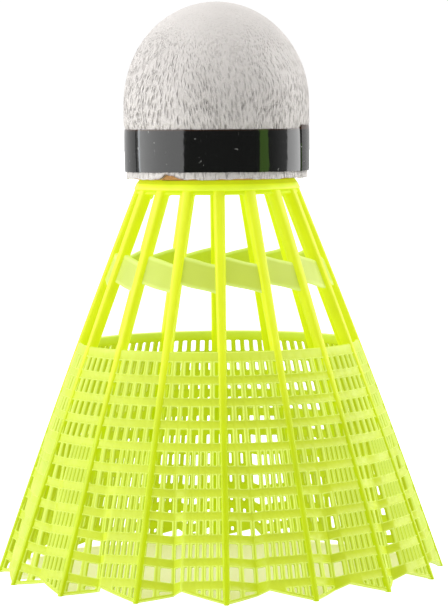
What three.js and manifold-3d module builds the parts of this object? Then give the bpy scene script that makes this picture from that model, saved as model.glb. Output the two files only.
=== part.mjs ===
// Badminton shuttlecock with a moulded nylon skirt and a leather-covered cork head.
//
// Millimetres, +Z up. The shuttlecock stands on the feet of its ribs, which lie in the plane z = 0.
// Its axis is the Z axis, and the head is at the top.
import * as THREE from 'three';
import { mergeVertices } from 'three/addons/utils/BufferGeometryUtils.js';
import Module from 'manifold-3d';

const wasm = await Module();
wasm.setup();

// Driving dimensions of the skirt
const RIB_COUNT = 16;
const RIM_RADIUS = 32.3; // outside of the ribs at the rim
const CROWN_RADIUS = 11.35; // outside of the ribs at the top of the crown
const CROWN_TOP = 56.3; // height of the crown's upper face above the rim
const CROWN_THICKNESS = 2.0;
const RIB_BOW = 0.4; // the ribs bow outwards by this much half way up
const RIB_WIDTH = { top: 1.7, foot: 0.9 };
const RIB_DEPTH = { top: 1.9, foot: 1.2 };
const RIB_SIDES = 8;
const RIB_STATIONS = 4;
const PLUG = { radius: 7.0, bore: 5.2, top: 66.0 }; // hollow stub that goes up into the cork

// Brace webs: each one drops from the rib on its left to the rib on its right
const WEB = { top: 46.0, height: 3.7, drop: 1.4, thickness: 0.9 };

// Mesh of the skirt's lower part
const MESH_TOP = 33.2;
const MESH_THICKNESS = 0.8;
const MESH_INSET = 0.35; // outside of the mesh behind the outside of the ribs
const PLEAT = { depth: 2.6, top: 20.0, segments: 2 }; // each panel folds inwards towards the rim
const SCALLOP_HEIGHT = 1.5; // the rim rises this much between two ribs
const OPENINGS = { rows: 5, bottom: 4.4, top: 32.4, bar: 1.9, columns: [0.26, 0.74], share: 0.32 };

// Driving dimensions of the head
const HEAD_RADIUS = 13.1; // outside of the leather
const HEAD_BASE = 56.6; // underside of the cork
const DOME_CENTRE = 68.75; // centre of the hemisphere
const LEATHER_THICKNESS = 0.45;
const CORK_LAYER_HEIGHT = 4.6; // natural cork under the dome
const CORK_BORE = { radius: 7.3, top: 67.0 };
const TAPE = { bottom: 57.6, height: 5.9, thickness: 0.15, clearance: 0.08 };
const TAPE_LAP = { start: THREE.MathUtils.degToRad(-32), end: THREE.MathUtils.degToRad(-18), steps: 3 };
const GLUE_EDGE_RADIUS = 11.9; // where the glue is squeezed out from under the head
const FILM_GAP = 0.05; // space left between two bonded pieces

const ROUND_SEGMENTS = 32;
const DOME_STEPS = 7;
const PANEL_ANGLE = (2 * Math.PI) / RIB_COUNT;
const SKIRT_SEGMENTS = RIB_COUNT * PLEAT.segments;

// Radius of the outside of the ribs at height z: a cone that bows outwards a little
function skirtRadius(z) {
  const bow = RIB_BOW * Math.sin((Math.PI * z) / CROWN_TOP);
  return THREE.MathUtils.mapLinear(z, 0, CROWN_TOP, RIM_RADIUS, CROWN_RADIUS) + bow;
}

// Share of the way from a rib (0) to the fold in the middle of a panel (1), at an angle round the axis
function foldShare(angle) {
  const turns = angle / PANEL_ANGLE;
  return 2 * Math.abs(turns - Math.round(turns));
}

// Moves every vertex of a geometry with a function that changes the point it is given
function reshape(geometry, move) {
  const position = geometry.attributes.position;
  const point = new THREE.Vector3();
  for (let i = 0; i < position.count; i += 1) {
    point.fromBufferAttribute(position, i);
    move(point);
    position.setXYZ(i, point.x, point.y, point.z);
  }
  return geometry;
}

// Keeps only the positions, joins shared vertices and turns the faces outwards
function closed(geometry) {
  geometry.deleteAttribute('normal');
  geometry.deleteAttribute('uv');
  const merged = mergeVertices(geometry);
  const index = merged.index.array;
  const position = merged.attributes.position;
  const corners = [new THREE.Vector3(), new THREE.Vector3(), new THREE.Vector3()];
  const kept = [];
  let volume = 0;
  for (let i = 0; i < index.length; i += 3) {
    const [a, b, c] = [index[i], index[i + 1], index[i + 2]];
    if (a === b || b === c || c === a) continue;
    kept.push(a, b, c);
    corners.forEach((corner, k) => corner.fromBufferAttribute(position, index[i + k]));
    volume += corners[0].dot(corners[1].cross(corners[2]));
  }
  merged.setIndex(volume < 0 ? kept.reverse() : kept);
  return merged;
}

function toManifold(geometry) {
  const shape = closed(geometry);
  return new wasm.Manifold(new wasm.Mesh({
    numProp: 3,
    vertProperties: new Float32Array(shape.attributes.position.array),
    triVerts: new Uint32Array(shape.index.array),
  }));
}

function fromManifold(solid) {
  const mesh = solid.getMesh();
  const geometry = new THREE.BufferGeometry();
  geometry.setAttribute('position', new THREE.BufferAttribute(mesh.vertProperties, 3));
  geometry.setIndex(new THREE.BufferAttribute(mesh.triVerts, 1));
  return geometry;
}

// Turned solid from a profile of [radius, height] points; one that is off the axis closes on itself
function turned(profile, segments = ROUND_SEGMENTS) {
  const points = profile.map(([radius, height]) => new THREE.Vector2(radius, height));
  const onAxis = points[0].x === 0 && points.at(-1).x === 0;
  if (!onAxis) points.push(points[0].clone());
  return new THREE.LatheGeometry(points, segments).rotateX(Math.PI / 2);
}

// Quarter circle from the widest point of the dome up to the axis
function domeArc(radius) {
  const arc = [];
  for (let step = 0; step <= DOME_STEPS; step += 1) {
    const angle = (step / DOME_STEPS) * (Math.PI / 2);
    const onAxis = step === DOME_STEPS;
    arc.push([onAxis ? 0 : radius * Math.cos(angle), DOME_CENTRE + radius * Math.sin(angle)]);
  }
  return arc;
}

function leatherCover() {
  const inside = HEAD_RADIUS - LEATHER_THICKNESS;
  return turned([
    ...domeArc(inside).reverse(),
    [inside, HEAD_BASE],
    [HEAD_RADIUS, HEAD_BASE],
    ...domeArc(HEAD_RADIUS),
  ]);
}

const CORK_RADIUS = HEAD_RADIUS - LEATHER_THICKNESS - FILM_GAP;

function corkBase() {
  const top = HEAD_BASE + CORK_LAYER_HEIGHT;
  return turned([
    [CORK_BORE.radius, HEAD_BASE],
    [CORK_RADIUS, HEAD_BASE],
    [CORK_RADIUS, top],
    [CORK_BORE.radius, top],
  ]);
}

function corkDome() {
  const bottom = HEAD_BASE + CORK_LAYER_HEIGHT + FILM_GAP;
  return turned([
    [0, CORK_BORE.top],
    [CORK_BORE.radius, CORK_BORE.top],
    [CORK_BORE.radius, bottom],
    [CORK_RADIUS, bottom],
    ...domeArc(CORK_RADIUS),
  ]);
}

// One turn of tape whose end lies on top of its start
function tapeBand() {
  const inside = HEAD_RADIUS + TAPE.clearance;
  const outside = inside + TAPE.thickness;
  const arc = (radius, from, to, steps) => {
    const curve = new THREE.EllipseCurve(0, 0, radius, radius, from, to);
    return curve.getPoints(steps);
  };
  const { start, end, steps } = TAPE_LAP;
  const outline = new THREE.Shape([
    ...arc(outside + TAPE.thickness, start, end, steps),
    ...arc(outside, end, start + 2 * Math.PI, ROUND_SEGMENTS),
  ]);
  const middle = arc(inside, 0, 2 * Math.PI, ROUND_SEGMENTS).slice(1);
  outline.holes.push(new THREE.Path(middle));
  const band = new THREE.ExtrudeGeometry(outline, {
    depth: TAPE.height,
    bevelEnabled: false,
  });
  return band.translate(0, 0, TAPE.bottom);
}

// Film under the cork and round the plug, with the bead that is squeezed out at the edge
function glueBond() {
  const film = { bottom: CROWN_TOP + FILM_GAP, top: HEAD_BASE - FILM_GAP };
  const beadMiddle = (film.bottom + film.top) / 2;
  const sleeve = { inside: PLUG.radius + FILM_GAP, outside: CORK_BORE.radius - FILM_GAP };
  const edge = GLUE_EDGE_RADIUS - (film.top - film.bottom);
  return turned([
    [sleeve.inside, film.bottom],
    [edge, film.bottom],
    [GLUE_EDGE_RADIUS, beadMiddle],
    [edge, film.top],
    [sleeve.outside, film.top],
    [sleeve.outside, PLUG.top],
    [sleeve.inside, PLUG.top],
  ]);
}

// Flat disc with a hole, and the hollow plug that stands on it
function crownAndPlug() {
  const bottom = CROWN_TOP - CROWN_THICKNESS;
  return turned([
    [PLUG.bore, bottom],
    [skirtRadius(bottom), bottom],
    [skirtRadius(CROWN_TOP), CROWN_TOP],
    [PLUG.radius, CROWN_TOP],
    [PLUG.radius, PLUG.top],
    [PLUG.bore, PLUG.top],
  ], SKIRT_SEGMENTS);
}

// Tapered rib from the crown down to its flat foot, at an angle round the axis
function rib(angle) {
  const top = CROWN_TOP - CROWN_THICKNESS / 2;
  const bar = new THREE.CylinderGeometry(0.5, 0.5, top, RIB_SIDES, RIB_STATIONS);
  bar.rotateX(Math.PI / 2);
  bar.translate(0, 0, top / 2);
  reshape(bar, (point) => {
    const depth = THREE.MathUtils.mapLinear(point.z, 0, top, RIB_DEPTH.foot, RIB_DEPTH.top);
    const width = THREE.MathUtils.mapLinear(point.z, 0, top, RIB_WIDTH.foot, RIB_WIDTH.top);
    point.x = skirtRadius(point.z) - depth / 2 + point.x * depth;
    point.y *= width;
  });
  return bar.rotateZ(angle);
}

// Sloping web from one rib to the next; it ends inside both ribs
function braceWeb(angle) {
  const web = new THREE.BoxGeometry(WEB.thickness, 1, WEB.height);
  reshape(web, (point) => {
    const across = point.y + 0.5;
    const height = WEB.top - WEB.height / 2 + point.z - WEB.drop * across;
    const radius = skirtRadius(height) - RIB_DEPTH.top / 2 + point.x;
    const turn = across * PANEL_ANGLE;
    point.set(radius * Math.cos(turn), radius * Math.sin(turn), height);
  });
  return web.rotateZ(angle);
}

// Pleated cone of mesh, still without its openings
function meshSheet() {
  const outside = (z) => skirtRadius(z) - MESH_INSET;
  const inside = (z) => outside(z) - MESH_THICKNESS;
  const levels = [0, PLEAT.top, MESH_TOP];
  const profile = [
    ...levels.map((z) => [outside(z), z]),
    ...levels.toReversed().map((z) => [inside(z), z]),
  ];
  return reshape(turned(profile, SKIRT_SEGMENTS), (point) => {
    const angle = Math.atan2(point.y, point.x);
    const share = foldShare(angle);
    const low = Math.max(0, 1 - point.z / PLEAT.top);
    const radius = Math.hypot(point.x, point.y) - PLEAT.depth * share * low;
    const lift = point.z < PLEAT.top / 2 ? SCALLOP_HEIGHT * share : 0;
    point.set(radius * Math.cos(angle), radius * Math.sin(angle), point.z + lift);
  });
}

// Cutters for the openings of one panel
function panelOpenings(angle) {
  const pitch = (OPENINGS.top - OPENINGS.bottom) / OPENINGS.rows;
  const reach = 2 * (PLEAT.depth + MESH_THICKNESS + RIB_DEPTH.top);
  const cutters = [];
  for (let row = 0; row < OPENINGS.rows; row += 1) {
    const height = OPENINGS.bottom + (row + 0.5) * pitch;
    const radius = skirtRadius(height);
    const width = OPENINGS.share * PANEL_ANGLE * radius;
    for (const column of OPENINGS.columns) {
      const cutter = new THREE.BoxGeometry(reach, width, pitch - OPENINGS.bar);
      cutter.translate(radius - PLEAT.depth / 2, 0, height);
      cutters.push(cutter.rotateZ(angle + column * PANEL_ANGLE));
    }
  }
  return cutters;
}

// The whole skirt is one moulding
function nylonSkirt() {
  let mesh = toManifold(meshSheet());
  let frame = toManifold(crownAndPlug());
  for (let panel = 0; panel < RIB_COUNT; panel += 1) {
    const angle = panel * PANEL_ANGLE;
    for (const cutter of panelOpenings(angle)) mesh = mesh.subtract(toManifold(cutter));
    frame = frame.add(toManifold(rib(angle)));
    frame = frame.add(toManifold(braceWeb(angle)));
  }
  return fromManifold(frame.add(mesh));
}

const materials = {
  leather: new THREE.MeshStandardMaterial({ color: 0xdad5ce, roughness: 0.6, metalness: 0 }),
  cork: new THREE.MeshStandardMaterial({ color: 0xb98552, roughness: 0.9, metalness: 0 }),
  agglomerate: new THREE.MeshStandardMaterial({ color: 0xa8764a, roughness: 0.9, metalness: 0 }),
  tape: new THREE.MeshStandardMaterial({ color: 0x0b0c0c, roughness: 0.15, metalness: 0 }),
  glue: new THREE.MeshStandardMaterial({ color: 0xc79355, roughness: 0.4, metalness: 0 }),
  nylon: new THREE.MeshStandardMaterial({ color: 0xdaf01e, roughness: 0.35, metalness: 0 }),
};

function part(name, geometry, material) {
  const mesh = new THREE.Mesh(geometry, material);
  mesh.name = name;
  return mesh;
}

const shuttlecock = new THREE.Group();
shuttlecock.add(
  part('leather_cover', closed(leatherCover()), materials.leather),
  part('cork_dome', closed(corkDome()), materials.agglomerate),
  part('cork_base', closed(corkBase()), materials.cork),
  part('tape_band', closed(tapeBand()), materials.tape),
  part('glue_bond', closed(glueBond()), materials.glue),
  part('nylon_skirt', nylonSkirt(), materials.nylon),
);

export default shuttlecock;
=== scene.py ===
import math

import bpy
import numpy as np
from mathutils import Matrix, Vector


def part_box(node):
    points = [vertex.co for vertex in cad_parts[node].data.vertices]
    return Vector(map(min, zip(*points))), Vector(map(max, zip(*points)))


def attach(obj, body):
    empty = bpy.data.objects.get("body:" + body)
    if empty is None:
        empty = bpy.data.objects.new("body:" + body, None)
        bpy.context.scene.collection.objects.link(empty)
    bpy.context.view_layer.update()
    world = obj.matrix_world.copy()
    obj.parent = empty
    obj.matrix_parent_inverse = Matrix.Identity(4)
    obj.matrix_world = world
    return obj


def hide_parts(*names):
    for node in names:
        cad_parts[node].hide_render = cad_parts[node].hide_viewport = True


# A badminton shuttlecock that stands on its rib feet, head up, with +X through a rib. The shapes are
# worked out in millimetres and the studio in metres. Colours are linear, or sRGB codes.

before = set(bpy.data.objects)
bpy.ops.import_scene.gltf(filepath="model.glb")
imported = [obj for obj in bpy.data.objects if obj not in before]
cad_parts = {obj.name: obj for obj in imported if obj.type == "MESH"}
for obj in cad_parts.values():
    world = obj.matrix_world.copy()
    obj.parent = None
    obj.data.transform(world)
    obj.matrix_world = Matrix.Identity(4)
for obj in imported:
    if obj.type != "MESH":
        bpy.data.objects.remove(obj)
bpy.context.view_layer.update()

MM = 0.001  # metres in a millimetre

# ---------------------------------------------------------------- sizes taken from the frame


def box_mm(node):
    """Lowest and highest corner of a CAD node, in millimetres."""
    low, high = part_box(node)
    return np.array(low) / MM, np.array(high) / MM


_, skirt_high = box_mm("nylon_skirt")
leather_low, leather_high = box_mm("leather_cover")
cork_low, cork_high = box_mm("cork_base")
dome_low, _ = box_mm("cork_dome")
tape_low, tape_high = box_mm("tape_band")
_, glue_high = box_mm("glue_bond")

RIBS = 16
PANEL = 2 * math.pi / RIBS  # angle from one rib to the next
RIM_RADIUS = skirt_high[0]
PLUG_TOP = skirt_high[2]
HEAD_RADIUS = leather_high[0]
HEAD_BASE = leather_low[2]
HEAD_TOP = leather_high[2]
CORK_RADIUS = cork_high[0]
CROWN_TOP = HEAD_BASE - 0.1
SKIRT_HEIGHT = HEAD_BASE - 0.3
CROWN_RADIUS = 11.35
PLUG_RADIUS = 7.0
BORE_RADIUS = PLUG_RADIUS + 0.3  # of the cork, with room for glue
RIB_BOW = 0.4  # how far the ribs bow outwards half way up
# painted light: the ribs are lighter above these heights, where they stand out and catch the light
RIB_FADE_LOW, RIB_FADE_HIGH = 21.0, 34.0  # the ribs change colour between these heights
CONE_SLOPE = (RIM_RADIUS - CROWN_RADIUS) / SKIRT_HEIGHT
CONE_TILT = math.atan(CONE_SLOPE)


def cone(z):
    """Radius of the outside of the ribs at height z."""
    return RIM_RADIUS - CONE_SLOPE * z + RIB_BOW * np.sin(math.pi * z / SKIRT_HEIGHT)


# ---------------------------------------------------------------- node helpers


class Nodes:
    """Small helper for building the node tree of a material or of the world."""

    def __init__(self, name, world=False):
        self.owner = (bpy.data.worlds if world else bpy.data.materials).new(name)
        self.owner.use_nodes = True
        self.tree = self.owner.node_tree
        self.tree.nodes.clear()
        self.output = self.add("ShaderNodeOutputWorld" if world else "ShaderNodeOutputMaterial")

    def add(self, kind, inputs=None, **settings):
        node = self.tree.nodes.new(kind)
        for key, value in settings.items():
            setattr(node, key, value)
        for key, value in (inputs or {}).items():
            self.feed(node.inputs[key], value)
        return node

    def feed(self, socket, value):
        if isinstance(value, bpy.types.NodeSocket):
            self.tree.links.new(value, socket)
        else:
            socket.default_value = value

    def place(self):
        """The point's own place on the object, in metres."""
        return self.add("ShaderNodeTexCoord").outputs["Object"]

    def height(self, place):
        return self.add("ShaderNodeSeparateXYZ", {0: place}).outputs["Z"]

    def attribute(self, name, output="Fac"):
        return self.add("ShaderNodeAttribute", attribute_name=name).outputs[output]

    def noise(self, vector, scale, detail=2.0, rough=0.5, stretch=(1, 1, 1)):
        mapped = self.add("ShaderNodeMapping", {"Vector": vector, "Scale": stretch})
        node = self.add(
            "ShaderNodeTexNoise",
            {"Vector": mapped.outputs[0], "Scale": scale, "Detail": detail, "Roughness": rough},
        )
        return node.outputs["Fac"]

    def remap(self, value, low, high, to_low, to_high, kind="LINEAR"):
        """to_low where the value is low, to_high where it is high, and no further."""
        inputs = {"Value": value, "From Min": low, "From Max": high, "To Min": to_low, "To Max": to_high}
        return self.add("ShaderNodeMapRange", inputs, interpolation_type=kind).outputs["Result"]

    def mix(self, share, first, second):
        node = self.add("ShaderNodeMix", data_type="RGBA")
        self.feed(node.inputs["Factor"], share)
        self.feed(node.inputs[6], first)
        self.feed(node.inputs[7], second)
        return node.outputs[2]

    def math(self, operation, first, second=0.0):
        node = self.add("ShaderNodeMath", operation=operation)
        self.feed(node.inputs[0], first)
        self.feed(node.inputs[1], second)
        return node.outputs[0]

    def mix_shaders(self, share, first, second):
        node = self.add("ShaderNodeMixShader", {"Fac": share})
        self.feed(node.inputs[1], first.outputs[0])
        self.feed(node.inputs[2], second.outputs[0])
        return node

    def bump(self, height, distance, strength=1.0, normal=None):
        inputs = {"Height": height, "Distance": distance, "Strength": strength}
        if normal is not None:
            inputs["Normal"] = normal
        return self.add("ShaderNodeBump", inputs).outputs["Normal"]

    def surface(self, shader):
        self.feed(self.output.inputs["Surface"], shader.outputs[0])
        return self.owner

    def finish(self, **inputs):
        """The material, with these inputs of the principled shader."""
        inputs = {key.replace("_", " "): value for key, value in inputs.items()}
        return self.surface(self.add("ShaderNodeBsdfPrincipled", inputs))


def srgb(code, alpha=1.0):
    """Linear colour from a six-digit hexadecimal sRGB one."""
    parts = [int(code[i : i + 2], 16) / 255 for i in (0, 2, 4)]
    linear = [c / 12.92 if c <= 0.04045 else ((c + 0.055) / 1.055) ** 2.4 for c in parts]
    return (*linear, alpha)


def nylon(name, body, glow, body_low=None, glow_low=None):
    """Fluorescent nylon with a painted glow: its emission stands in for its fluorescence and for light in
    shade, so that it stays bright in shade.

    Colours are linear red, green and blue. With the last two, the piece changes to them on its
    way down. The "edge" attribute is above 0 on raised edges and below 0 in hollows.
    """
    nodes = Nodes(name)
    place = nodes.place()
    edge = nodes.attribute("edge")
    flow = nodes.noise(place, 700.0, 2.0, stretch=(1, 1, 0.3))
    cloud = nodes.noise(place, 160.0, 3.0)
    body, glow = (*body, 1.0), (*glow, 1.0)
    if body_low:
        # painted light: the ribs are lighter high up, where they stand out and catch the light, and like
        # the mesh low down
        share = nodes.remap(nodes.height(place), RIB_FADE_LOW * MM, RIB_FADE_HIGH * MM, 0.0, 1.0)
        body = nodes.mix(share, (*body_low, 1.0), body)
        glow = nodes.mix(share, (*glow_low, 1.0), glow)
    # painted light from the "edge" attribute: a painted highlight on raised edges, painted shade in
    # hollows
    raised = nodes.remap(edge, 0.0, 1.0, 0.0, 0.5)
    hollow = nodes.remap(edge, 0.0, -1.0, 0.0, 0.5)
    dimmed = nodes.remap(edge, 0.0, -1.0, 0.0, 0.6)
    body = nodes.mix(hollow, body, (0.25, 0.26, 0.01, 1.0))
    glow = nodes.mix(raised, glow, (0.62, 0.76, 0.26, 1.0))
    glow = nodes.mix(dimmed, glow, (0.12, 0.13, 0.0, 1.0))
    return nodes.finish(
        Base_Color=body,
        Roughness=nodes.remap(flow, 0.3, 0.7, 0.34, 0.5),
        Normal=nodes.bump(flow, 0.03 * MM, 0.4),
        Specular_IOR_Level=0.35,
        # painted glow, a little uneven: emission that stands in for fluorescence and for light in shade
        Emission_Color=glow,
        Emission_Strength=nodes.remap(cloud, 0.3, 0.7, 0.90, 1.08),
    )


def leather():
    """Off-white leather with short furrows, which run with the "flow" attribute."""
    nodes = Nodes("white_leather")
    place = nodes.place()
    flow = nodes.attribute("flow", "Vector")
    strength = nodes.attribute("strength")
    stain = nodes.attribute("stain")
    # one furrow in the middle of each stretched cell
    cells = nodes.add("ShaderNodeMapping", {"Vector": flow, "Scale": (1, 1, 0.23)}).outputs[0]
    apart = nodes.add("ShaderNodeTexVoronoi", {"Vector": cells, "Scale": 3.1}).outputs["Distance"]
    furrow = nodes.math("MULTIPLY", nodes.remap(apart, 0.10, 0.54, 1.0, 0.0), strength)
    crumple = nodes.noise(flow, 3.4, 3.0, 0.55, stretch=(1, 1, 0.45))
    crumple = nodes.math("MULTIPLY", crumple, nodes.remap(strength, 0.0, 1.0, 0.1, 1.0))
    pores = nodes.noise(place, 3400.0, 2.0)
    tint = nodes.remap(nodes.noise(place, 120.0, 3.0), 0.35, 0.65, 0.0, 1.0)
    colour = nodes.mix(tint, srgb("DFDAD6"), srgb("E7E2DE"))
    # painted shade in the furrows
    colour = nodes.mix(nodes.math("MULTIPLY", furrow, 0.36), colour, srgb("8F8880"))
    colour = nodes.mix(nodes.remap(pores, 0.3, 0.42, 0.20, 0.0), colour, srgb("8F8880"))
    colour = nodes.mix(stain, colour, srgb("6B4630"))
    normal = nodes.bump(nodes.math("SUBTRACT", 1.0, furrow), 0.25 * MM)
    normal = nodes.bump(crumple, 0.28 * MM, normal=normal)
    normal = nodes.bump(pores, 0.03 * MM, 0.6, normal)
    return nodes.finish(Base_Color=colour, Roughness=0.62, Normal=normal, Specular_IOR_Level=0.3)


def tape():
    """Glossy black tape: gently wavy, with dust on it, and brown along its top edge."""
    nodes = Nodes("black_tape")
    place = nodes.place()
    dust = nodes.remap(nodes.noise(place, 1500.0, 2.0), 0.71, 0.76, 0.0, 0.55)
    waves = nodes.noise(place, 110.0, 2.0, stretch=(1, 1, 0.3))
    ripple = nodes.noise(place, 900.0, 1.0, stretch=(0.5, 0.5, 1.0))
    scuff = nodes.noise(place, 600.0, 4.0, stretch=(1, 1, 6.0))
    top = tape_high[2] * MM
    # browner along the top edge of the tape
    brown_top_edge = nodes.remap(nodes.height(place), top - 0.08 * MM, top + 0.1 * MM, 0.0, 0.8)
    colour = nodes.mix(dust, srgb("141514"), srgb("9A9C98"))
    colour = nodes.mix(brown_top_edge, colour, srgb("4A3328"))
    normal = nodes.bump(waves, 0.12 * MM, 0.5)
    normal = nodes.bump(ripple, 0.03 * MM, 0.6, normal)
    return nodes.finish(
        Base_Color=colour,
        Roughness=nodes.remap(scuff, 0.4, 0.75, 0.04, 0.14),
        Normal=normal,
        Specular_IOR_Level=0.5,
    )


def cork(name, light, dark, cell):
    """Cork of grains, cell of them to the metre, with dark pores."""
    nodes = Nodes(name)
    place = nodes.place()
    grains = nodes.add("ShaderNodeTexVoronoi", {"Vector": place, "Scale": cell}).outputs
    pores = nodes.noise(place, 900.0, 4.0, 0.6, stretch=(1, 1, 3.0))
    shade = nodes.remap(grains["Color"], 0.2, 0.8, 0.0, 1.0)
    colour = nodes.mix(shade, srgb(light), srgb(dark))
    colour = nodes.mix(nodes.remap(pores, 0.58, 0.68, 0.0, 0.8), colour, srgb("5A3A1E"))
    normal = nodes.bump(grains["Distance"], 0.2 * MM, 0.6)
    normal = nodes.bump(pores, 0.3 * MM, 0.6, normal)
    return nodes.finish(Base_Color=colour, Roughness=0.85, Normal=normal)


def glue():
    """Dried amber glue."""
    nodes = Nodes("dried_glue")
    cloud = nodes.noise(nodes.place(), 500.0, 3.0)
    shade = nodes.remap(cloud, 0.35, 0.65, 0.0, 1.0)
    return nodes.finish(
        Base_Color=nodes.mix(shade, srgb("B0742F"), srgb("E0A45C")),
        Roughness=nodes.remap(cloud, 0.3, 0.7, 0.2, 0.45),
        Normal=nodes.bump(cloud, 0.2 * MM, 0.5),
        Transmission_Weight=0.15,
    )


# ---------------------------------------------------------------- mesh helpers


def piece(name, points, faces, material, stands_for, slot, sharp=38, attributes=None):
    """Makes a piece from points in millimetres, to stand for a CAD node.

    Edges that turn by more than sharp degrees stay sharp.
    """
    mesh = bpy.data.meshes.new(name)
    mesh.from_pydata((np.asarray(points, float) * MM).tolist(), [], [list(face) for face in faces])
    for key, values in (attributes or {}).items():
        values = np.asarray(values, np.float32)
        kind, field = ("FLOAT", "value") if values.ndim == 1 else ("FLOAT_VECTOR", "vector")
        mesh.attributes.new(key, kind, "POINT").data.foreach_set(field, values.ravel())
    mesh.materials.append(material)
    mesh.polygons.foreach_set("use_smooth", np.ones(len(mesh.polygons), bool))
    mesh.set_sharp_from_angle(angle=math.radians(sharp))
    obj = bpy.data.objects.new(name, mesh)
    bpy.context.scene.collection.objects.link(obj)
    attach(obj, "root")
    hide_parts(stands_for)


def ring_faces(rings, around, closed_rings=False, start=0):
    """Quads between successive rings of points, each ring closed on itself."""
    faces = []
    last = rings if closed_rings else rings - 1
    for i in range(last):
        low, high = start + i * around, start + ((i + 1) % rings) * around
        for j in range(around):
            k = (j + 1) % around
            faces.append((low + j, low + k, high + k, high + j))
    return faces


def fan(start, around, middle):
    """Triangles from a ring to the point in its middle."""
    return [(start + j, start + (j + 1) % around, middle) for j in range(around)]


def polar(radius, angle, z):
    return np.stack([radius * np.cos(angle), radius * np.sin(angle), z + 0 * angle], -1)


def full_turn(around):
    """Angles of the columns of a turned piece."""
    return 2 * math.pi * np.arange(around) / around


def angle_from(middle, turn):
    """Signed angle from the middle to each turn, the short way round."""
    return np.angle(np.exp(1j * (turn - middle)))


def swept(profile, turn):
    """Points of a ring of the (radius, height) profile, where either may vary with the turn."""
    return np.concatenate([polar(radius + 0 * turn, turn, z) for radius, z in profile])


# ---------------------------------------------------------------- skirt: mesh

MESH_INSET = 0.28  # outside of the mesh behind the outside of the ribs
MESH_THICKNESS = 0.55
HOOP_TOP = 33.2
ROW_PITCH = 2.973
FIRST_ROW = 30.91  # middle of the top row of openings
ROWS = 10  # whole rows; one more is cut off by the rim
FIRST_PLEATED_ROW = 4  # from here down, the second half of each panel has narrow columns
OPENING_HEIGHT = 1.85
RIDGE_MARGIN = 0.12  # from the opening to the edge of its cell, above and below
RIDGE_HEIGHT = 0.09
PLEAT_DEPTH = 2.6
PLEAT_TOP = 20.0
SLANT_DIP = 0.36  # the rows drop by this share of the pleat's depth
VALLEY, CREST = 1 / 3, 1 / 2  # columns where the pleat is deepest and where it comes back out
PLEAT_SHAPE = ((0.0, VALLEY, CREST, 1.0), (0.0, 1.0, 0.27, 0.0))
RIM_SHAPE = ((0.0, VALLEY, CREST, 1.0), (0.0, 0.63, 1.6, 0.0))
RIM_COLUMNS = (0.0, 0.378, 0.492, 1.0)  # where those columns are at the rim
RIM_BORDER = 0.42
BAR_HALF = 0.31
NARROW_BAR_SHARE = 0.27  # of a column's width, where that is less than BAR_HALF
RIB_OVERLAP = 0.04  # the openings beside a rib start this far under it
FILLET = 0.16
SMALLEST_OPENING = 0.22


def pleat(z):
    """0 above the pleats, 1 at the rim."""
    return np.clip(1 - z / PLEAT_TOP, 0, 1)


# Places across the skirt, u, are counted in panels from the rib at +X: 2.5 is the middle of the third.


def within(u, shape):
    """Value at u of a shape that each panel repeats."""
    return np.interp(u - np.floor(u), *shape)


def dipped(z, u):
    """Height of a row line that is at height z beside the ribs."""
    return z - SLANT_DIP * PLEAT_DEPTH * pleat(z) * within(u, PLEAT_SHAPE)


def rim_height(u):
    return within(u, RIM_SHAPE)


def on_skirt(u, z, out):
    """Point of the mesh at u and height z, out millimetres off its outside."""
    radius = cone(z) - MESH_INSET - PLEAT_DEPTH * pleat(z) * within(u, PLEAT_SHAPE)
    shift = within(u, (PLEAT_SHAPE[0], RIM_COLUMNS)) - (u - np.floor(u))
    turn = (u + shift * pleat(z)) * PANEL
    return polar(radius + out * math.cos(CONE_TILT), turn, z + out * math.sin(CONE_TILT))


def row_lines(row):
    """Functions for the top and bottom lines of a row of cells."""
    half = OPENING_HEIGHT / 2 + RIDGE_MARGIN
    middle = FIRST_ROW - row * ROW_PITCH

    def border(u):
        return rim_height(u) + RIM_BORDER

    def top(u):
        return max(dipped(middle + half, u), border(u) + 0.04)

    def bottom(u):
        return border(u) if row == ROWS else dipped(middle - half, u)

    return top, bottom


def columns(row):
    """Edges of the cells of one panel, as shares of the panel."""
    wide, narrow = [0, 2, 4], [6, 7, 8, 9, 10, 11]
    twelfths = wide + (narrow[::2] if row < FIRST_PLEATED_ROW else narrow) + [12]
    return [twelfth / 12 for twelfth in twelfths]


def rib_half_width(z):
    """Half the width of a rib, which grows towards the crown."""
    return np.interp(z, (0.0, 20.0, 38.0, 56.0), (0.45, 0.52, 0.68, 0.84))


class Sheet:
    """Points and faces of the mesh; points in the same place are shared."""

    def __init__(self):
        self.points, self.edge, self.faces, self.known = [], [], [], {}

    def point(self, u, z, out, edge=0.0):
        key = (round((u % RIBS) * 1e5), round(z * 1e4), round(out * 1e4))
        if key not in self.known:
            self.known[key] = len(self.points)
            self.points.append(on_skirt(np.float64(u), np.float64(z), out))
            self.edge.append(edge)
        return self.known[key]

    def line(self, places, out, edge=0.0):
        return [self.point(u, z, out, edge) for u, z in places]

    def loop(self, outer, inner):
        """Joins two closed rings with as many points each."""
        for i in range(len(outer)):
            j = (i + 1) % len(outer)
            self.faces.append((outer[i], outer[j], inner[j], inner[i]))

    def strip(self, upper, lower, flip=False):
        """Joins two lines of (u, index) pairs that run the same way and end together."""
        i, j = 0, 0
        while i + 1 < len(upper) or j + 1 < len(lower):
            next_upper = upper[i + 1][0] if i + 1 < len(upper) else math.inf
            next_lower = lower[j + 1][0] if j + 1 < len(lower) else math.inf
            face = [upper[i][1], lower[j][1]]
            if next_lower <= next_upper + 1e-6:
                j += 1
                face.append(lower[j][1])
            if next_upper <= next_lower + 1e-6:
                i += 1
                face.append(upper[i][1])
            self.faces.append(tuple(face[::-1] if flip else face))


NEAR = 0.27  # a cell's outline has points this share of a side from its corners
# The outline, anticlockwise from near the top left corner, as (share across, share down)
CELL = [
    (0, NEAR), (0, 1 - NEAR), (0, 1), (NEAR, 1), (1 - NEAR, 1), (1, 1),
    (1, 1 - NEAR), (1, NEAR), (1, 0), (1 - NEAR, 0), (NEAR, 0), (0, 0),
]


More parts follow.
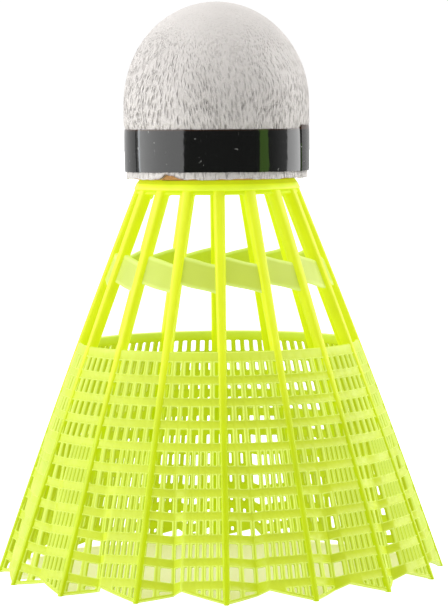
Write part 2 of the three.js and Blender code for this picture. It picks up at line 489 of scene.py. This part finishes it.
def opening(left, right, top, bottom, width, height):
    """Rounded rectangle with a point for each point of CELL, from margins and sizes in millimetres."""
    half = np.array([width - left - right, height - top - bottom]) / 2
    middle = np.array([left, top]) + half
    fillet = np.minimum(FILLET, 0.9 * half)
    side, end = half - (0, fillet[1]), half - (fillet[0], 0)
    corner = half - (1 - math.sqrt(0.5)) * fillet
    low_left, low_right, high_right, high_left = (-1, 1), (1, 1), (1, -1), (-1, -1)
    path = [
        side * high_left, side * low_left, corner * low_left, end * low_left,
        end * low_right, corner * low_right, side * low_right, side * high_right,
        corner * high_right, end * high_right, end * high_left, corner * high_left,
    ]
    return [(middle + point) / (width, height) for point in path]


def skirt_cell(sheet, panel, start, end, top, bottom):
    """One cell of the mesh, from start to end across its panel, with its opening if that has room."""

    def place(share_across, share_down):
        u = panel + start + share_across * (end - start)
        return u, top(u) * (1 - share_down) + bottom(u) * share_down

    middle = panel + (start + end) / 2
    z_middle = (top(middle) + bottom(middle)) / 2
    width = (end - start) * PANEL * cone(z_middle)
    height = top(middle) - bottom(middle)
    bar = min(BAR_HALF, NARROW_BAR_SHARE * width)
    beside_rib = rib_half_width(z_middle) - RIB_OVERLAP
    left = beside_rib if start == 0 else bar
    right = beside_rib if end == 1 else bar
    outline = [place(*share) for share in CELL]
    front, back = sheet.line(outline, 0.0), sheet.line(outline, -MESH_THICKNESS)
    if height - 2 * RIDGE_MARGIN < SMALLEST_OPENING:
        sheet.faces += [tuple(front), tuple(back[::-1])]
        return
    rings = [front]
    # how far each ring lies outside the opening, at its sides and ends, how far out, and its painted
    # light: a painted highlight on the ridge and front edge, painted shade in the wall and on the back
    # edge
    for side, margin, out, edge in (
        (0.4 * bar, 0.4 * RIDGE_MARGIN, RIDGE_HEIGHT, 0.8),  # ridge round the opening
        (0.0, 0.0, 0.0, 0.9),  # front edge
        (-0.05, -0.05, -0.5 * MESH_THICKNESS, -0.64),  # middle of the wall
        (0.02, 0.02, -MESH_THICKNESS, -0.38),  # back edge
    ):
        margin = RIDGE_MARGIN - margin
        shares = opening(left - side, right - side, margin, margin, width, height)
        rings.append(sheet.line([place(*share) for share in shares], out, edge))
    rings.append(back)
    for outer, inner in zip(rings[:-1], rings[1:]):
        sheet.loop(outer, inner)


TOP, BOTTOM = 0, 1


def edge_line(sheet, row, end, out):
    """(u, index) pairs along the top or bottom of a whole row, all round the skirt."""
    line = row_lines(row)[end]
    edges = columns(row)
    shares = []
    for left, right in zip(edges[:-1], edges[1:]):
        shares += [left + near * (right - left) for near in (0, NEAR, 1 - NEAR)]
    places = [panel + share for panel in range(RIBS) for share in shares] + [float(RIBS)]
    return [(u, sheet.point(u, line(u), out)) for u in places]


def skirt_mesh():
    """Rows of openings, the plain bands between them, the hoop along the top and the rim."""
    sheet = Sheet()
    for row in range(ROWS + 1):
        top, bottom = row_lines(row)
        edges = columns(row)
        for panel in range(RIBS):
            for start, end in zip(edges[:-1], edges[1:]):
                skirt_cell(sheet, panel, start, end, top, bottom)
    for out, flip in ((0.0, False), (-MESH_THICKNESS, True)):
        for row in range(ROWS):
            sheet.strip(edge_line(sheet, row, BOTTOM, out), edge_line(sheet, row + 1, TOP, out), flip)
    add_hoop(sheet)
    add_border(sheet)
    return sheet.points, sheet.faces, sheet.edge


def add_hoop(sheet):
    """Rounded top edge above the first row."""
    front = edge_line(sheet, 0, TOP, 0.0)
    lines = [front]
    # height under the hoop's top, how far out, and how light the nylon is there, a painted highlight along
    # the top
    for under, out, edge in (
        (0.15, 0.06, 0.3),
        (0.0, -0.12, 1.0),
        (0.0, 0.12 - MESH_THICKNESS, 1.0),
        (0.15, -MESH_THICKNESS, 0.3),
    ):
        lines.append([(u, sheet.point(u, HOOP_TOP - under, out, edge)) for u, _ in front])
    lines.append(edge_line(sheet, 0, TOP, -MESH_THICKNESS))
    for lower, upper in zip(lines[:-1], lines[1:]):
        sheet.strip(upper, lower)


def add_border(sheet):
    """Rounded border along the rim."""
    front = edge_line(sheet, ROWS, BOTTOM, 0.0)
    lines = [front]
    # height above the rim, how far out, and how light the nylon is there, a painted highlight along the
    # border
    for above, out, edge in (
        (0.28, 0.0, 0.1),
        (0.16, 0.1, 0.8),
        (0.04, -0.1, 1.0),
        (0.16, 0.1 - MESH_THICKNESS, 1.0),
        (0.3, -MESH_THICKNESS, 0.5),
    ):
        lines.append([(u, sheet.point(u, rim_height(u) + above, out, edge)) for u, _ in front])
    lines.append(edge_line(sheet, ROWS, BOTTOM, -MESH_THICKNESS))
    for upper, lower in zip(lines[:-1], lines[1:]):
        sheet.strip(upper, lower)


# ---------------------------------------------------------------- skirt: ribs, webs and crown


FLANGE_BOTTOM = 55.05
WINDOW_TOP = 54.45
FOOT_HEIGHT = 0.5  # over this height a rib's foot is rounded off
WEB_TOP = 46.15
WEB_HEIGHT = 3.9
WEB_DROP = 1.4  # from one rib to the next
WEB_THICKNESS = 0.75
WEB_INSET = 0.95  # middle of the web behind the outside of the ribs


def rounded_section(around, power_across, power_along):
    """A rectangle from -1 to 1 with rounded corners; the smaller the powers, the squarer."""
    turn = 2 * math.pi * (np.arange(around) + 0.5) / around
    across = np.sign(np.cos(turn)) * np.abs(np.cos(turn)) ** power_across
    along = np.sign(np.sin(turn)) * np.abs(np.sin(turn)) ** power_along
    return across, along


def bar_faces(rings, around, start):
    """A closed bar through the rings."""
    ends = [tuple(reversed(range(around))), tuple(range((rings - 1) * around, rings * around))]
    return ring_faces(rings, around, start=start) + [tuple(start + i for i in end) for end in ends]


def skirt_ribs():
    """Tapered ribs from their feet up into the crown."""
    points, faces = [], []
    stations = np.concatenate([[0.0, 0.12, FOOT_HEIGHT], np.linspace(2, FLANGE_BOTTOM + 0.1, 24)])
    around = 16
    across, along = rounded_section(around, 0.625, 0.625)
    for rib in range(RIBS):
        turn = np.array(Matrix.Rotation(rib * PANEL, 3, "Z"))
        start = len(points)
        for z in stations:
            foot = 1 - 0.25 * max(0.0, 1 - z / FOOT_HEIGHT) ** 2
            half_width = rib_half_width(z) * foot
            half_depth = np.interp(z, (0, SKIRT_HEIGHT), (1.15, 1.9)) / 2 * foot
            radius = cone(z) - half_depth - 0.02 + along * half_depth
            ring = np.stack([radius, across * half_width, np.full(around, z)], -1)
            points += list(ring @ turn.T)
        faces += [face[::-1] for face in bar_faces(len(stations), around, start)]
    return points, faces, np.zeros(len(points))


def skirt_webs():
    """Sloping brace webs between neighbouring ribs, waisted, and flared where they meet the ribs."""
    rng = np.random.default_rng(7)
    points, faces, edge = [], [], []
    stations, around = 14, 12
    thick, tall = rounded_section(around, 0.4, 0.25)
    for web in range(RIBS):
        start = len(points)
        lean = rng.uniform(-0.12, 0.12)
        for share in np.arange(stations) / (stations - 1):
            flare = max(0.0, abs(2 * share - 1) - 0.72) / 0.28
            half = WEB_HEIGHT / 2 + 0.2 * flare**2 + 0.03 * math.sin(9 * share + web)
            middle = WEB_TOP - WEB_HEIGHT / 2 - WEB_DROP * share + lean * (share - 0.5)
            z = middle + tall * half
            waist = WEB_THICKNESS / 2 * (1 - 0.25 * (1 - np.abs(tall)) + 0.3 * flare)
            radius = cone(z) - WEB_INSET + thick * waist - 0.12 * math.sin(math.pi * share)
            points += list(polar(radius, np.full(around, (web + share) * PANEL), z))
            # painted highlight along the top and bottom edges of each web
            edge += list(np.where(np.abs(tall) > 0.9, 0.9, 0.0))
        faces += bar_faces(stations, around, start)
    return points, faces, edge


def skirt_crown():
    """Flange that the ribs hang from, with the tops of the windows under it, and the hollow plug."""
    around = RIBS * 12
    turn = full_turn(around)
    u = turn / PANEL
    beside_rib = np.abs(2 * (u - np.floor(u)) - 1)
    low = WINDOW_TOP - 0.7 * beside_rib**6
    inside = cone(CROWN_TOP) - 1.6
    bore, plug = PLUG_RADIUS - 1.8, PLUG_RADIUS
    # painted shadow from the head on the top of the band, above band_top
    band_top = CROWN_TOP - 0.6
    # radius, height, and how light (+) or dark (-) the nylon is there: painted shade in the recess under
    # the flange and under the head, and a painted highlight along the flange's lower edge
    profile = [
        (bore, CROWN_TOP - 1.5, 0.0),
        (inside, CROWN_TOP - 1.6, -0.3),
        (inside + 0.3, low + 0.2, -0.3),
        (inside + 0.5, low, -0.3),
        (cone(low) - 0.65, low, -0.3),
        (cone(low) - 0.5, low + 0.15, -0.3),
        (cone(FLANGE_BOTTOM) - 0.5, FLANGE_BOTTOM - 0.05, -0.6),
        (cone(FLANGE_BOTTOM) - 0.05, FLANGE_BOTTOM, -0.4),
        (cone(FLANGE_BOTTOM) + 0.08, FLANGE_BOTTOM + 0.12, 0.3),
        (cone(band_top) + 0.08, band_top, 0.0),
        (cone(band_top + 0.05) + 0.06, band_top + 0.05, -0.5),
        (cone(CROWN_TOP) - 0.02, CROWN_TOP - 0.15, -0.55),
        (cone(CROWN_TOP) - 0.2, CROWN_TOP, -0.7),
        (plug + 0.3, CROWN_TOP, -1.0),
        (plug, CROWN_TOP + 0.3, 0.0),
        (plug, PLUG_TOP - 0.5, 0.0),
        (plug - 0.3, PLUG_TOP, 0.0),
        (bore + 0.2, PLUG_TOP, 0.0),
        (bore, PLUG_TOP - 0.2, 0.0),
    ]
    points = swept([(radius, z) for radius, z, _ in profile], turn)
    faces = ring_faces(len(profile), around, closed_rings=True)
    return points, faces, np.repeat([edge for _, _, edge in profile], around)


# ---------------------------------------------------------------- head


def wave_noise(points, frequency, seed, count=24):
    """Smooth noise about 0 from a sum of sine waves in random directions."""
    rng = np.random.default_rng(seed)
    total = np.zeros(len(points))
    for _ in range(count):
        direction = rng.normal(size=3)
        direction *= rng.uniform(0.6, 1.6) * frequency / np.linalg.norm(direction)
        total += np.sin(points @ direction + rng.uniform(0, 2 * math.pi))
    return total / math.sqrt(count)


DOME_CENTRE = HEAD_TOP - HEAD_RADIUS
PATCH_ANGLE = math.radians(-90 - 33)  # where the cork and glue show under the leather
CHEWED_REACH = math.radians(6.5)  # how far to each side of that the leather is chewed away
GLUE_REACH = math.radians(11)  # how far to each side of it the glue has spread
LEATHER_THICKNESS = 0.45
LEATHER_SHOULDER = 67.2  # where the side of the leather turns into the dome
LEATHER_TUCK = 0.08  # how far it is pressed in under the tape
LEATHER_BULGE = 0.25  # how far it bulges out just above the tape
# degrees right of the front, and how far the wrinkles there lean as they run down
WRINKLE_LEAN = (
    (-180, -100, -48, -30, -10, 0, 22, 60, 180),
    (-0.25, -0.25, -0.34, 0, 0.32, 0.28, 0, -0.1, -0.25),
)
LEAN_MIDDLE, LEAN_REACH = 18.0, 7.0  # how far below the top they lean the most, and how soon that fades


def leather_base(turn):
    """Height of the leather's lower edge: ragged, and chewed away at the patch."""
    away = angle_from(PATCH_ANGLE, turn)
    ragged = 0.05 * np.sin(9 * turn + 1.0) + 0.04 * np.sin(23 * turn) + 0.03 * np.sin(41 * turn + 2.0)
    chewed = 0.10 * np.sin(31 * turn) + 0.08 * np.sin(57 * turn + 1.0)
    patch = np.exp(-((away / CHEWED_REACH) ** 4))
    return HEAD_BASE + 0.08 + ragged + (0.50 + chewed) * patch


def leather_radius(z):
    """Radius of the side of the leather."""
    share = np.clip((z - tape_high[2] + 0.2) / 1.2, 0, 1)
    return HEAD_RADIUS - LEATHER_TUCK + (LEATHER_BULGE + LEATHER_TUCK) * share


def leather_flow(points):
    """Coordinates that run with the wrinkles, in millimetres, and how strong the wrinkles are.

    The leather was pulled down over the dome, so its wrinkles fan out from the top. They part to
    the left and right below a place left of the front's middle.
    """
    x, y, z = points.T
    angle = np.arctan2(y, x)
    from_top = np.arccos(np.clip((z - DOME_CENTRE) / HEAD_RADIUS, -1, 1))
    from_top = np.minimum(from_top, math.pi / 2)
    down = HEAD_RADIUS * from_top + np.maximum(DOME_CENTRE - z, 0)
    spread = HEAD_RADIUS * np.sin(from_top)
    right = np.degrees(angle_from(-math.pi / 2, angle))
    lean = np.interp(right, *WRINKLE_LEAN)
    turned = angle - lean * LEAN_REACH * np.tanh((down - LEAN_MIDDLE) / LEAN_REACH) / HEAD_RADIUS
    flow = np.stack([np.cos(turned) * spread, np.sin(turned) * spread, down], -1)
    flow += wave_noise(flow, 0.6, 11, 16)[:, None] * np.array([[0.35, 0.35, 0.6]])
    patches = wave_noise(flow, 0.22, 4, 16)
    strength = np.clip((down - 5) / 8, 0.0, 1.0) * np.clip(0.85 + 0.35 * patches, 0.3, 1.2)
    strength *= np.where(z < tape_low[2], 0.6, 1.0)
    return flow, strength


def leather_stain(points):
    """How strongly glue stains the leather: most at its edge by the patch, and 0 away from there."""
    turn = np.arctan2(points[:, 1], points[:, 0])
    above_edge = points[:, 2] - leather_base(turn)
    near_patch = np.abs(angle_from(PATCH_ANGLE, turn)) < GLUE_REACH
    return 0.8 * near_patch * np.exp(-((above_edge / 0.16) ** 2))


def leather_outside(turn):
    """Rings of the outside from the lower edge up, and the directions that they face."""
    up_side, up_dome = 56, 110
    rings, normals = [], []
    for share in np.arange(up_side) / up_side:
        z = leather_base(turn) * (1 - share) + LEATHER_SHOULDER * share
        rings.append(polar(leather_radius(z), turn, z))
        normals.append(polar(1.0, turn, 0.0))
    for share in np.arange(up_dome) / up_dome:
        angle = math.pi / 2 * share
        radius = (HEAD_RADIUS + LEATHER_BULGE) * math.cos(angle)
        z = LEATHER_SHOULDER + (HEAD_TOP - LEATHER_SHOULDER) * math.sin(angle)
        rings.append(polar(radius, turn, z))
        normals.append(polar(math.cos(angle), turn, math.sin(angle)))
    return rings, normals


def leather_inside(turn):
    """Rings of the inside from the lower edge up, and the point at its top."""
    radius = HEAD_RADIUS - LEATHER_THICKNESS
    rings = [polar(radius, turn, leather_base(turn)), polar(radius, turn, DOME_CENTRE)]
    for i in range(1, 10):
        angle = math.pi / 2 * (i / 10)
        rings.append(polar(radius * math.cos(angle), turn, DOME_CENTRE + radius * math.sin(angle)))
    return rings, [0, 0, DOME_CENTRE + radius]


def leather_cover():
    """Closed shell of leather, uneven outside and plain inside."""
    around = 480
    turn = full_turn(around)
    rings, normals = leather_outside(turn)
    points, normals = np.concatenate(rings), np.concatenate(normals)
    flow, strength = leather_flow(points)
    stain = leather_stain(points)
    height = 0.03 * wave_noise(points, 0.4, 21) - 0.02
    points = points + normals * height[:, None]
    faces = ring_faces(len(rings), around) + fan((len(rings) - 1) * around, around, len(points))
    points = np.concatenate([points, [[0, 0, HEAD_TOP - 0.03]]])
    inner, inner_top = leather_inside(turn)
    start = len(points)
    points = np.concatenate([points, *inner, [inner_top]])
    faces += [(j, start + j, start + (j + 1) % around, (j + 1) % around) for j in range(around)]
    shell = ring_faces(len(inner), around, start=start)
    shell += fan(start + (len(inner) - 1) * around, around, len(points) - 1)
    faces += [face[::-1] for face in shell]
    hidden = len(points) - len(flow)
    flow = np.concatenate([flow, np.zeros((hidden, 3))])
    strength = np.concatenate([strength, np.zeros(hidden)])
    stain = np.concatenate([stain, np.zeros(hidden)])
    return points, faces, {"flow": flow, "strength": strength, "stain": stain}


LAP_START, LAP_END = math.radians(-28), math.radians(-10)
LAP_CLIMB = 0.55  # how much higher the outer end lies
TAPE_THICKNESS = 0.15


def tape_band():
    """One turn of tape; its outer end lies over its start and a little higher."""
    around = 480
    turn = LAP_START + full_turn(around)
    along = np.mod(turn - LAP_START, 2 * math.pi)
    past_end = along > 0
    doubled = (past_end & (along < LAP_END - LAP_START)).astype(float)
    climb = LAP_CLIMB * np.clip(1 - along / math.radians(75), 0, 1) * past_end
    low = tape_low[2] + 0.05 + 0.03 * np.sin(3 * turn + 1) + 0.015 * np.sin(17 * turn)
    high = tape_high[2] + 0.15 + 0.03 * np.sin(2 * turn + 0.4) + 0.015 * np.sin(13 * turn + 2) + climb
    outside = HEAD_RADIUS + TAPE_THICKNESS * (1 + doubled)
    profile = [(HEAD_RADIUS, low)]
    for share in np.linspace(0, 1, 17):
        rounding = 0.04 * (abs(2 * share - 1) ** 8)
        ripple = 0.012 * np.sin(5 * turn + 2 * share) * np.sin(2.0 + 7 * turn)
        profile.append((outside - rounding + ripple, low + (high - low) * share))
    profile.append((HEAD_RADIUS, high))
    return swept(profile, turn), ring_faces(len(profile), around, closed_rings=True)


def cork_layer():
    """Lower layer of the cork: a ring with an uneven underside."""
    around = 240
    turn = full_turn(around)
    low, high = cork_low[2], cork_high[2]
    profile = [(BORE_RADIUS, low + 0.1), (BORE_RADIUS + 0.1, low)]
    for radius in np.linspace(8, CORK_RADIUS - 0.5, 10):
        profile.append((radius, low + 0.06 * np.sin(radius * 3 + 5 * turn)))
    profile += [(CORK_RADIUS - 0.1, low + 0.05), (CORK_RADIUS, low + 0.3)]
    profile += [(CORK_RADIUS, z) for z in np.linspace(low + 0.7, high, 8)]
    profile.append((BORE_RADIUS, high))
    return swept(profile, turn), ring_faces(len(profile), around, closed_rings=True)


def glue_bead():
    """Glue under the head, squeezed out unevenly round the crown, and up round the plug."""
    around = 300
    turn = full_turn(around)
    smear = np.exp(-((angle_from(PATCH_ANGLE, turn) / GLUE_REACH) ** 4))
    wobble = 0.12 * np.sin(7 * turn) + 0.1 * np.sin(19 * turn + 1) + 0.05 * np.sin(37 * turn)
    edge = 10.7 + wobble + 1.6 * smear
    low, high = CROWN_TOP + 0.01, HEAD_BASE - 0.01
    inside, outside = PLUG_RADIUS + 0.06, BORE_RADIUS - 0.06
    profile = [
        (inside, low),
        (edge - 0.3, low),
        (edge - 0.05, low + 0.01),
        (edge, (low + high) / 2),
        (edge - 0.05, high - 0.01),
        (edge - 0.3, high),
        (outside + 0.2, high),
        (outside, high + 0.2),
        (outside, glue_high[2]),
        (inside, glue_high[2]),
    ]
    return swept(profile, turn), ring_faces(len(profile), around, closed_rings=True)


def cork_core():
    """Rounded upper part of the cork, with the blind end of the bore."""
    around = 200
    turn = full_turn(around)
    low, bore_top = dome_low[2], 67.0
    profile = [(0.02, bore_top), (BORE_RADIUS - 0.2, bore_top), (BORE_RADIUS, bore_top - 0.2)]
    profile += [(BORE_RADIUS, low), (CORK_RADIUS, low)]
    for i in range(40):
        angle = math.pi / 2 * i / 40
        radius, z = CORK_RADIUS * math.cos(angle), DOME_CENTRE + CORK_RADIUS * math.sin(angle)
        profile.append((radius, z))
    points = np.concatenate([swept(profile, turn), [[0, 0, bore_top], [0, 0, DOME_CENTRE + CORK_RADIUS]]])
    bottom, top = len(points) - 2, len(points) - 1
    faces = ring_faces(len(profile), around) + [face[::-1] for face in fan(0, around, bottom)]
    faces += fan((len(profile) - 1) * around, around, top)
    return points, faces


# ---------------------------------------------------------------- the object


def skirt():
    """The skirt in four pieces, each with its own copy of the one nylon, made lighter or darker with
    painted light.
    """
    mesh_nylon = nylon("nylon_mesh", (0.40, 0.475, 0.045), (0.29, 0.355, 0.0))
    rib_nylon = nylon(
        "nylon_ribs",
        (0.51, 0.46, 0.02),
        (0.37, 0.52, 0.0),
        # painted light: darker low down, where the ribs lie nearly flush with the mesh
        body_low=(0.34, 0.42, 0.0),
        glow_low=(0.29, 0.38, 0.0),
    )
    web_nylon = nylon("nylon_webs", (0.38, 0.44, 0.10), (0.26, 0.33, 0.0))
    crown_nylon = nylon("nylon_crown", (0.42, 0.44, 0.03), (0.50, 0.68, 0.005))
    for name, build, material, sharp in (
        ("skirt_mesh", skirt_mesh, mesh_nylon, 50),
        ("skirt_ribs", skirt_ribs, rib_nylon, 45),
        ("skirt_brace_webs", skirt_webs, web_nylon, 45),
        ("skirt_crown", skirt_crown, crown_nylon, 45),
    ):
        points, faces, edge = build()
        piece(name, points, faces, material, "nylon_skirt", "fluorescent_nylon", sharp, {"edge": edge})


def head():
    """Leather, tape, cork and glue."""
    points, faces, grain = leather_cover()
    piece("leather_skin", points, faces, leather(), "leather_cover", "leather", 60, grain)
    piece("tape", *tape_band(), tape(), "tape_band", "black_tape", 40)
    natural = cork("natural_cork", "D9A566", "C08A50", 700)
    pressed = cork("pressed_cork", "B8824E", "8F5D33", 420)
    piece("cork_lower_layer", *cork_layer(), natural, "cork_base", "natural_cork")
    piece("cork_core", *cork_core(), pressed, "cork_dome", "agglomerated_cork")
    piece("glue", *glue_bead(), glue(), "glue_bond", "glue", 60)


# ---------------------------------------------------------------- studio

CAMERA_DISTANCE, CAMERA_HEIGHT, CAMERA_SIDE = 0.430, 0.067, 0.00082
CAMERA_AZIMUTH = math.radians(-1.4)
CAMERA_PITCH = math.radians(3.829)
CAMERA_ROLL = math.radians(-0.55)
FLOOR_RADIUS = 4.0
ROOM_AHEAD = 0.40  # brightness of the room beyond the object
ROOM_OVERHEAD = 0.40  # and how much brighter it is overhead
LAMP_AIM = 0.06  # height that the lamps are aimed at


def cross(a, b):
    return a[..., 0] * b[..., 1] - a[..., 1] * b[..., 0]


def under_rim(turn):
    """How far the painted shade on the floor inside the skirt reaches at each angle, in metres.

    At the back it ends at the rim, and at the front where the camera sees the rim against it.
    """
    eye = camera_place() / MM
    outline = []
    for panel in range(RIBS):
        for u in (0.0, VALLEY, CREST):
            point = on_skirt(np.float64(panel + u), rim_height(u), 0.0)
            if point[1] < 0:
                point = eye + (point - eye) * eye[2] / (eye[2] - point[2])
            outline.append(point[:2])
    start = np.array(outline)
    step = np.roll(start, -1, axis=0) - start
    direction = polar(1.0, turn, 0.0)[:, None, :2]
    reach = cross(start, step) / cross(direction, step)
    share = cross(start, direction) / cross(direction, step)
    missed = (share < -1e-6) | (share > 1 + 1e-6) | (reach < 0)
    return np.where(missed, math.inf, reach).min(axis=1) * MM


def floor():
    """Pale floor that looks plain white to the camera, but for a painted shade inside the skirt.

    Reflections don't show it.
    """
    around = 720
    turn = full_turn(around)
    inside = under_rim(turn)
    points = np.concatenate([polar(radius, turn, 0.0) for radius in (0.95 * inside, inside, FLOOR_RADIUS)])
    faces = [tuple(range(around))] + [face[::-1] for face in ring_faces(3, around)]
    mesh = bpy.data.meshes.new("floor")
    mesh.from_pydata(points.tolist(), [], faces)
    shade = mesh.attributes.new("outside", "FLOAT", "POINT")
    shade.data.foreach_set("value", np.repeat([0.0, 1.0, 1.0], around))
    nodes = Nodes("floor")
    path = nodes.add("ShaderNodeLightPath").outputs
    outside = nodes.attribute("outside")
    # painted shade inside the skirt, tinted cream for the yellow light that the nylon throws on the floor
    # there
    tint = nodes.mix(outside, (1.0, 0.92, 0.50, 1.0), (1.0, 1.0, 1.0, 1.0))
    diffuse = nodes.add("ShaderNodeBsdfDiffuse", {"Color": (0.8, 0.8, 0.8, 1)})
    glow = nodes.add("ShaderNodeEmission", {"Color": tint, "Strength": 1.9})
    clear = nodes.add("ShaderNodeBsdfTransparent")
    share = nodes.math("MULTIPLY", path["Is Camera Ray"], nodes.remap(outside, 0.0, 1.0, 0.19, 0.80))
    seen = nodes.mix_shaders(share, diffuse, glow)
    mesh.materials.append(nodes.surface(nodes.mix_shaders(path["Is Glossy Ray"], seen, clear)))
    obj = bpy.data.objects.new("floor", mesh)
    bpy.context.scene.collection.objects.link(obj)


def surroundings():
    """Dim room, brighter overhead and darker behind the camera; white where the camera sees it.

    It is twice as bright in reflections as it is as a light.
    """
    nodes = Nodes("studio", world=True)
    direction = nodes.add("ShaderNodeTexCoord").outputs["Generated"]
    split = nodes.add("ShaderNodeSeparateXYZ", {0: direction}).outputs
    path = nodes.add("ShaderNodeLightPath").outputs
    ahead = nodes.remap(split["Y"], -0.6, 0.5, 0.05, ROOM_AHEAD, "SMOOTHSTEP")
    overhead = nodes.remap(split["Z"], 0.1, 0.9, 0.0, ROOM_OVERHEAD, "SMOOTHSTEP")
    gain = nodes.math("ADD", path["Is Glossy Ray"], 1.0)
    strength = nodes.math("MULTIPLY", nodes.math("ADD", ahead, overhead), gain)
    room = nodes.add("ShaderNodeBackground", {"Color": (1, 1, 1, 1), "Strength": strength})
    white = nodes.add("ShaderNodeBackground", {"Color": (1, 1, 1, 1), "Strength": 1.02})
    mixed = nodes.mix_shaders(path["Is Camera Ray"], room, white)
    bpy.context.scene.world = nodes.surface(mixed)


def beside_camera(azimuth, distance, height):
    """Place at a number of degrees right of the camera, from the object's axis."""
    turn = math.radians(azimuth)
    return Vector((distance * math.sin(turn), -distance * math.cos(turn), height))


def lamp(name, azimuth, size, radiance, distance=0.9, height=0.16, colour=(1, 1, 1)):
    """Soft box aimed at the crown of the skirt; the camera doesn't see it."""
    light = bpy.data.lights.new(name, "AREA")
    light.shape = "RECTANGLE"
    light.size, light.size_y = size
    light.energy = radiance * math.pi * size[0] * size[1]
    light.color = colour
    obj = bpy.data.objects.new(name, light)
    obj.location = beside_camera(azimuth, distance, height)
    obj.rotation_mode = "QUATERNION"
    obj.rotation_quaternion = (Vector((0, 0, LAMP_AIM)) - obj.location).to_track_quat("-Z", "Y")
    obj.visible_camera = False
    bpy.context.scene.collection.objects.link(obj)
    return obj


def dark_card():
    """Narrow black card beside the window, for the dark line in the tape."""
    azimuth, half_width, half_height = -120.5, 0.02, 0.35
    middle = beside_camera(azimuth, 0.86, 0.1)
    across = beside_camera(azimuth + 90, half_width, 0)
    up = Vector((0, 0, half_height))
    corners = [middle - across - up, middle + across - up, middle + across + up, middle - across + up]
    mesh = bpy.data.meshes.new("dark_card")
    mesh.from_pydata(corners, [], [(0, 1, 2, 3)])
    black = Nodes("black_card").finish(Base_Color=(0, 0, 0, 1), Roughness=1.0, Specular_IOR_Level=0.0)
    mesh.materials.append(black)
    obj = bpy.data.objects.new("dark_card", mesh)
    obj.visible_camera = False
    bpy.context.scene.collection.objects.link(obj)


def studio():
    """Floor, room, card and soft boxes; the narrow boxes are there for what the tape reflects."""
    floor()
    surroundings()
    dark_card()
    lamp("window", -79, (1.35, 0.75), 2.75)
    lamp("window_edge", -113, (0.05, 0.75), 2.0, distance=0.86, colour=(0.75, 0.9, 1.0))
    lamp("strip", 112, (0.50, 0.75), 3.2)
    lamp("overhead_left", -80, (0.5, 0.5), 2.0, distance=0.6, height=0.62)
    lamp("overhead_right", 80, (0.5, 0.5), 3.2, distance=0.6, height=0.62)
    leaf = lamp("leaf", 59, (0.20, 0.50), 1.4, height=0.10, colour=(0.45, 1.0, 0.10))
    leaf.visible_diffuse = False
    bpy.context.scene.view_settings.view_transform = "Standard"


def camera_place():
    turn = np.array(Matrix.Rotation(CAMERA_AZIMUTH, 3, "Z"))
    return turn @ np.array([CAMERA_SIDE, -CAMERA_DISTANCE, CAMERA_HEIGHT])


def camera():
    """At the level of the shoulder of the head, looking slightly down at the skirt."""
    data = bpy.data.cameras.new("camera")
    data.lens = 176.3
    data.clip_start = 0.01
    obj = bpy.data.objects.new("camera", data)
    bpy.context.scene.collection.objects.link(obj)
    turn = Matrix.Rotation(CAMERA_AZIMUTH, 4, "Z")
    pitch = Matrix.Rotation(math.pi / 2 - CAMERA_PITCH, 4, "X")
    roll = Matrix.Rotation(CAMERA_ROLL, 4, "Z")
    obj.matrix_world = Matrix.Translation(camera_place()) @ turn @ pitch @ roll
    bpy.context.scene.camera = obj


skirt()
head()
studio()
camera()
